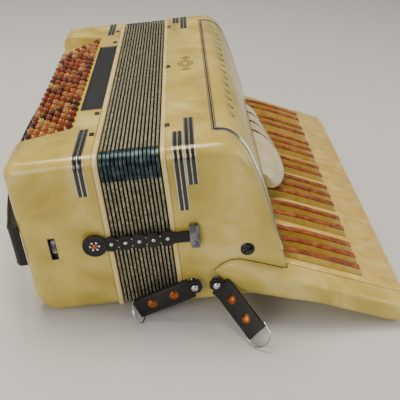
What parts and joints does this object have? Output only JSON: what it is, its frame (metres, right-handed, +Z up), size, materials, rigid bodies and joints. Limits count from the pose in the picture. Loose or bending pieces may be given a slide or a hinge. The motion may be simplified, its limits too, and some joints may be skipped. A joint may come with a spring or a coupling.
{
  "type": "piano accordion",
  "caption": "Piano accordion with bellows, sloping piano keyboard, register levers, bass buttons, grille, hand strap, closing straps and strap rings.",
  "frame": {"origin": "bottom centre of the overall box, on the surface the instrument lies on", "axes": "+X from the bass box to the keyboard, +Y from the low-note end to the high-note end, +Z up; the box lies on its back, tipped 7.3 degrees about Y"},
  "size_m": [0.4682, 0.5788, 0.2087],
  "materials": {
    "pearl": "gloss pearl celluloid",
    "ivory": "gloss",
    "white_key": "gloss pearl",
    "sharp_key": "gloss pearl",
    "button": "gloss",
    "bellows_cloth": "metallic cloth with metal corner guards",
    "leather": "satin",
    "chrome": "polished"
  },
  "bodies": {
    "treble": {"treble_case": "pearl", "grille_cover": "pearl", "keyboard_bed": "pearl", "register_housing": "ivory", "bellows": "bellows_cloth"},
    "bass": {"bass_case": "pearl", "hand_strap": "leather"},
    "bass_notes": {"bass_note_buttons": "button"},
    "chords": {"chord_buttons": "button"},
    "wheel": {"strap_wheel": "chrome"},
    "strap_near": {"closing_strap_near": "leather"},
    "strap_far": {"closing_strap_far": "leather"},
    "tab_left": {"strap_tab_left": "leather"},
    "tab_right": {"strap_tab_right": "leather"},
    "ring_left": {"d_ring_left": "chrome"},
    "ring_right": {"d_ring_right": "chrome"},
    "lever_1": {"register_lever_1": "ivory"},
    "lever_2": {"register_lever_2": "ivory"},
    "lever_3": {"register_lever_3": "ivory"},
    "key_01": {"key_01_white": "white_key"},
    "key_02": {"key_02_sharp": "sharp_key"},
    "key_03": {"key_03_white": "white_key"},
    "key_04": {"key_04_sharp": "sharp_key"},
    "key_05": {"key_05_white": "white_key"},
    "key_06": {"key_06_sharp": "sharp_key"},
    "key_07": {"key_07_white": "white_key"},
    "key_08": {"key_08_white": "white_key"},
    "key_09": {"key_09_sharp": "sharp_key"},
    "key_10": {"key_10_white": "white_key"},
    "key_11": {"key_11_sharp": "sharp_key"},
    "key_12": {"key_12_white": "white_key"},
    "key_13": {"key_13_white": "white_key"},
    "key_14": {"key_14_sharp": "sharp_key"},
    "key_15": {"key_15_white": "white_key"},
    "key_16": {"key_16_sharp": "sharp_key"},
    "key_17": {"key_17_white": "white_key"},
    "key_18": {"key_18_sharp": "sharp_key"},
    "key_19": {"key_19_white": "white_key"},
    "key_20": {"key_20_white": "white_key"},
    "key_21": {"key_21_sharp": "sharp_key"},
    "key_22": {"key_22_white": "white_key"},
    "key_23": {"key_23_sharp": "sharp_key"},
    "key_24": {"key_24_white": "white_key"},
    "key_25": {"key_25_white": "white_key"},
    "key_26": {"key_26_sharp": "sharp_key"},
    "key_27": {"key_27_white": "white_key"},
    "key_28": {"key_28_sharp": "sharp_key"},
    "key_29": {"key_29_white": "white_key"},
    "key_30": {"key_30_sharp": "sharp_key"},
    "key_31": {"key_31_white": "white_key"},
    "key_32": {"key_32_white": "white_key"},
    "key_33": {"key_33_sharp": "sharp_key"},
    "key_34": {"key_34_white": "white_key"},
    "key_35": {"key_35_sharp": "sharp_key"},
    "key_36": {"key_36_white": "white_key"},
    "key_37": {"key_37_white": "white_key"},
    "key_38": {"key_38_sharp": "sharp_key"},
    "key_39": {"key_39_white": "white_key"},
    "key_40": {"key_40_sharp": "sharp_key"},
    "key_41": {"key_41_white": "white_key"}
  },
  "joints": [
    {"name": "bellows_slide", "type": "slide", "parent": "treble", "child": "bass", "axis": [-0.992, 0, -0.1266], "range_m": [0, 0.3], "deforming": ["bellows"]},
    {"name": "bass_note_press", "type": "slide", "parent": "bass", "child": "bass_notes", "axis": [0.3628, 0, -0.9319], "range_m": [0, 0.0035], "stiffness_N_per_m": 800, "springref_m": -0.01},
    {"name": "chord_press", "type": "slide", "parent": "bass", "child": "chords", "axis": [0.3628, 0, -0.9319], "range_m": [0, 0.0035], "stiffness_N_per_m": 800, "springref_m": -0.01},
    {"name": "wheel_turn", "type": "hinge", "parent": "bass", "child": "wheel", "pos_m": [-0.15736, -0.21215, 0.08651], "axis": [0.992, 0, 0.1266], "continuous": true},
    {"name": "strap_near_open", "type": "hinge", "parent": "treble", "child": "strap_near", "pos_m": [-0.01408, -0.23165, 0.10682], "axis": [-0.1266, 0, 0.992], "range_deg": [0, 95]},
    {"name": "strap_far_open", "type": "hinge", "parent": "treble", "child": "strap_far", "pos_m": [-0.01408, 0.27435, 0.10682], "axis": [0.1266, 0, -0.992], "range_deg": [0, 95]},
    {"name": "tab_left_swing", "type": "hinge", "parent": "treble", "child": "tab_left", "pos_m": [-0.00742, -0.23595, 0.04516], "axis": [0, 1, 0], "range_deg": [-5, 60]},
    {"name": "ring_left_swing", "type": "hinge", "parent": "tab_left", "child": "ring_left", "pos_m": [-0.06718, -0.23595, 0.01566], "axis": [0.4426, 0, -0.8967], "range_deg": [-60, 90]},
    {"name": "tab_right_swing", "type": "hinge", "parent": "treble", "child": "tab_right", "pos_m": [0.01639, -0.23595, 0.0482], "axis": [0, 1, 0], "range_deg": [-40, 8]},
    {"name": "ring_right_swing", "type": "hinge", "parent": "tab_right", "child": "ring_right", "pos_m": [0.05675, -0.27461, 0.01698], "axis": [0.6119, 0, 0.7909], "range_deg": [-60, 60]},
    {"name": "lever_1_press", "type": "hinge", "parent": "treble", "child": "lever_1", "pos_m": [0.0895, 0.0716, 0.07938], "axis": [0, 1, 0], "range_deg": [0, 3], "stiffness_Nm_per_rad": 0.5, "springref_deg": -8.59},
    {"name": "lever_2_press", "type": "hinge", "parent": "treble", "child": "lever_2", "pos_m": [0.0895, 0.1046, 0.07938], "axis": [0, 1, 0], "range_deg": [0, 3], "stiffness_Nm_per_rad": 0.5, "springref_deg": -8.59},
    {"name": "lever_3_press", "type": "hinge", "parent": "treble", "child": "lever_3", "pos_m": [0.0895, 0.1376, 0.07938], "axis": [0, 1, 0], "range_deg": [0, 3], "stiffness_Nm_per_rad": 0.5, "springref_deg": -8.59},
    {"name": "key_01_press", "type": "hinge", "parent": "treble", "child": "key_01", "pos_m": [0.06703, -0.20865, 0.06032], "axis": [0, 1, 0], "range_deg": [0, 1.7], "stiffness_Nm_per_rad": 1, "springref_deg": -8.59},
    {"name": "key_02_press", "type": "hinge", "parent": "treble", "child": "key_02", "pos_m": [0.06703, -0.20105, 0.06032], "axis": [0, 1, 0], "range_deg": [0, 1.7], "stiffness_Nm_per_rad": 1, "springref_deg": -8.59},
    {"name": "key_03_press", "type": "hinge", "parent": "treble", "child": "key_03", "pos_m": [0.06703, -0.18865, 0.06032], "axis": [0, 1, 0], "range_deg": [0, 1.7], "stiffness_Nm_per_rad": 1, "springref_deg": -8.59},
    {"name": "key_04_press", "type": "hinge", "parent": "treble", "child": "key_04", "pos_m": [0.06703, -0.17865, 0.06032], "axis": [0, 1, 0], "range_deg": [0, 1.7], "stiffness_Nm_per_rad": 1, "springref_deg": -8.59},
    {"name": "key_05_press", "type": "hinge", "parent": "treble", "child": "key_05", "pos_m": [0.06703, -0.16865, 0.06032], "axis": [0, 1, 0], "range_deg": [0, 1.7], "stiffness_Nm_per_rad": 1, "springref_deg": -8.59},
    {"name": "key_06_press", "type": "hinge", "parent": "treble", "child": "key_06", "pos_m": [0.06703, -0.15625, 0.06032], "axis": [0, 1, 0], "range_deg": [0, 1.7], "stiffness_Nm_per_rad": 1, "springref_deg": -8.59},
    {"name": "key_07_press", "type": "hinge", "parent": "treble", "child": "key_07", "pos_m": [0.06703, -0.14865, 0.06032], "axis": [0, 1, 0], "range_deg": [0, 1.7], "stiffness_Nm_per_rad": 1, "springref_deg": -8.59},
    {"name": "key_08_press", "type": "hinge", "parent": "treble", "child": "key_08", "pos_m": [0.06703, -0.12865, 0.06032], "axis": [0, 1, 0], "range_deg": [0, 1.7], "stiffness_Nm_per_rad": 1, "springref_deg": -8.59},
    {"name": "key_09_press", "type": "hinge", "parent": "treble", "child": "key_09", "pos_m": [0.06703, -0.12065, 0.06032], "axis": [0, 1, 0], "range_deg": [0, 1.7], "stiffness_Nm_per_rad": 1, "springref_deg": -8.59},
    {"name": "key_10_press", "type": "hinge", "parent": "treble", "child": "key_10", "pos_m": [0.06703, -0.10865, 0.06032], "axis": [0, 1, 0], "range_deg": [0, 1.7], "stiffness_Nm_per_rad": 1, "springref_deg": -8.59},
    {"name": "key_11_press", "type": "hinge", "parent": "treble", "child": "key_11", "pos_m": [0.06703, -0.09665, 0.06032], "axis": [0, 1, 0], "range_deg": [0, 1.7], "stiffness_Nm_per_rad": 1, "springref_deg": -8.59},
    {"name": "key_12_press", "type": "hinge", "parent": "treble", "child": "key_12", "pos_m": [0.06703, -0.08865, 0.06032], "axis": [0, 1, 0], "range_deg": [0, 1.7], "stiffness_Nm_per_rad": 1, "springref_deg": -8.59},
    {"name": "key_13_press", "type": "hinge", "parent": "treble", "child": "key_13", "pos_m": [0.06703, -0.06865, 0.06032], "axis": [0, 1, 0], "range_deg": [0, 1.7], "stiffness_Nm_per_rad": 1, "springref_deg": -8.59},
    {"name": "key_14_press", "type": "hinge", "parent": "treble", "child": "key_14", "pos_m": [0.06703, -0.06105, 0.06032], "axis": [0, 1, 0], "range_deg": [0, 1.7], "stiffness_Nm_per_rad": 1, "springref_deg": -8.59},
    {"name": "key_15_press", "type": "hinge", "parent": "treble", "child": "key_15", "pos_m": [0.06703, -0.04865, 0.06032], "axis": [0, 1, 0], "range_deg": [0, 1.7], "stiffness_Nm_per_rad": 1, "springref_deg": -8.59},
    {"name": "key_16_press", "type": "hinge", "parent": "treble", "child": "key_16", "pos_m": [0.06703, -0.03865, 0.06032], "axis": [0, 1, 0], "range_deg": [0, 1.7], "stiffness_Nm_per_rad": 1, "springref_deg": -8.59},
    {"name": "key_17_press", "type": "hinge", "parent": "treble", "child": "key_17", "pos_m": [0.06703, -0.02865, 0.06032], "axis": [0, 1, 0], "range_deg": [0, 1.7], "stiffness_Nm_per_rad": 1, "springref_deg": -8.59},
    {"name": "key_18_press", "type": "hinge", "parent": "treble", "child": "key_18", "pos_m": [0.06703, -0.01625, 0.06032], "axis": [0, 1, 0], "range_deg": [0, 1.7], "stiffness_Nm_per_rad": 1, "springref_deg": -8.59},
    {"name": "key_19_press", "type": "hinge", "parent": "treble", "child": "key_19", "pos_m": [0.06703, -0.00865, 0.06032], "axis": [0, 1, 0], "range_deg": [0, 1.7], "stiffness_Nm_per_rad": 1, "springref_deg": -8.59},
    {"name": "key_20_press", "type": "hinge", "parent": "treble", "child": "key_20", "pos_m": [0.06703, 0.01135, 0.06032], "axis": [0, 1, 0], "range_deg": [0, 1.7], "stiffness_Nm_per_rad": 1, "springref_deg": -8.59},
    {"name": "key_21_press", "type": "hinge", "parent": "treble", "child": "key_21", "pos_m": [0.06703, 0.01935, 0.06032], "axis": [0, 1, 0], "range_deg": [0, 1.7], "stiffness_Nm_per_rad": 1, "springref_deg": -8.59},
    {"name": "key_22_press", "type": "hinge", "parent": "treble", "child": "key_22", "pos_m": [0.06703, 0.03135, 0.06032], "axis": [0, 1, 0], "range_deg": [0, 1.7], "stiffness_Nm_per_rad": 1, "springref_deg": -8.59},
    {"name": "key_23_press", "type": "hinge", "parent": "treble", "child": "key_23", "pos_m": [0.06703, 0.04335, 0.06032], "axis": [0, 1, 0], "range_deg": [0, 1.7], "stiffness_Nm_per_rad": 1, "springref_deg": -8.59},
    {"name": "key_24_press", "type": "hinge", "parent": "treble", "child": "key_24", "pos_m": [0.06703, 0.05135, 0.06032], "axis": [0, 1, 0], "range_deg": [0, 1.7], "stiffness_Nm_per_rad": 1, "springref_deg": -8.59},
    {"name": "key_25_press", "type": "hinge", "parent": "treble", "child": "key_25", "pos_m": [0.06703, 0.07135, 0.06032], "axis": [0, 1, 0], "range_deg": [0, 1.7], "stiffness_Nm_per_rad": 1, "springref_deg": -8.59},
    {"name": "key_26_press", "type": "hinge", "parent": "treble", "child": "key_26", "pos_m": [0.06703, 0.07895, 0.06032], "axis": [0, 1, 0], "range_deg": [0, 1.7], "stiffness_Nm_per_rad": 1, "springref_deg": -8.59},
    {"name": "key_27_press", "type": "hinge", "parent": "treble", "child": "key_27", "pos_m": [0.06703, 0.09135, 0.06032], "axis": [0, 1, 0], "range_deg": [0, 1.7], "stiffness_Nm_per_rad": 1, "springref_deg": -8.59},
    {"name": "key_28_press", "type": "hinge", "parent": "treble", "child": "key_28", "pos_m": [0.06703, 0.10135, 0.06032], "axis": [0, 1, 0], "range_deg": [0, 1.7], "stiffness_Nm_per_rad": 1, "springref_deg": -8.59},
    {"name": "key_29_press", "type": "hinge", "parent": "treble", "child": "key_29", "pos_m": [0.06703, 0.11135, 0.06032], "axis": [0, 1, 0], "range_deg": [0, 1.7], "stiffness_Nm_per_rad": 1, "springref_deg": -8.59},
    {"name": "key_30_press", "type": "hinge", "parent": "treble", "child": "key_30", "pos_m": [0.06703, 0.12375, 0.06032], "axis": [0, 1, 0], "range_deg": [0, 1.7], "stiffness_Nm_per_rad": 1, "springref_deg": -8.59},
    {"name": "key_31_press", "type": "hinge", "parent": "treble", "child": "key_31", "pos_m": [0.06703, 0.13135, 0.06032], "axis": [0, 1, 0], "range_deg": [0, 1.7], "stiffness_Nm_per_rad": 1, "springref_deg": -8.59},
    {"name": "key_32_press", "type": "hinge", "parent": "treble", "child": "key_32", "pos_m": [0.06703, 0.15135, 0.06032], "axis": [0, 1, 0], "range_deg": [0, 1.7], "stiffness_Nm_per_rad": 1, "springref_deg": -8.59},
    {"name": "key_33_press", "type": "hinge", "parent": "treble", "child": "key_33", "pos_m": [0.06703, 0.15935, 0.06032], "axis": [0, 1, 0], "range_deg": [0, 1.7], "stiffness_Nm_per_rad": 1, "springref_deg": -8.59},
    {"name": "key_34_press", "type": "hinge", "parent": "treble", "child": "key_34", "pos_m": [0.06703, 0.17135, 0.06032], "axis": [0, 1, 0], "range_deg": [0, 1.7], "stiffness_Nm_per_rad": 1, "springref_deg": -8.59},
    {"name": "key_35_press", "type": "hinge", "parent": "treble", "child": "key_35", "pos_m": [0.06703, 0.18335, 0.06032], "axis": [0, 1, 0], "range_deg": [0, 1.7], "stiffness_Nm_per_rad": 1, "springref_deg": -8.59},
    {"name": "key_36_press", "type": "hinge", "parent": "treble", "child": "key_36", "pos_m": [0.06703, 0.19135, 0.06032], "axis": [0, 1, 0], "range_deg": [0, 1.7], "stiffness_Nm_per_rad": 1, "springref_deg": -8.59},
    {"name": "key_37_press", "type": "hinge", "parent": "treble", "child": "key_37", "pos_m": [0.06703, 0.21135, 0.06032], "axis": [0, 1, 0], "range_deg": [0, 1.7], "stiffness_Nm_per_rad": 1, "springref_deg": -8.59},
    {"name": "key_38_press", "type": "hinge", "parent": "treble", "child": "key_38", "pos_m": [0.06703, 0.21895, 0.06032], "axis": [0, 1, 0], "range_deg": [0, 1.7], "stiffness_Nm_per_rad": 1, "springref_deg": -8.59},
    {"name": "key_39_press", "type": "hinge", "parent": "treble", "child": "key_39", "pos_m": [0.06703, 0.23135, 0.06032], "axis": [0, 1, 0], "range_deg": [0, 1.7], "stiffness_Nm_per_rad": 1, "springref_deg": -8.59},
    {"name": "key_40_press", "type": "hinge", "parent": "treble", "child": "key_40", "pos_m": [0.06703, 0.24135, 0.06032], "axis": [0, 1, 0], "range_deg": [0, 1.7], "stiffness_Nm_per_rad": 1, "springref_deg": -8.59},
    {"name": "key_41_press", "type": "hinge", "parent": "treble", "child": "key_41", "pos_m": [0.06703, 0.25135, 0.06032], "axis": [0, 1, 0], "range_deg": [0, 1.7], "stiffness_Nm_per_rad": 1, "springref_deg": -8.59}
  ]
}
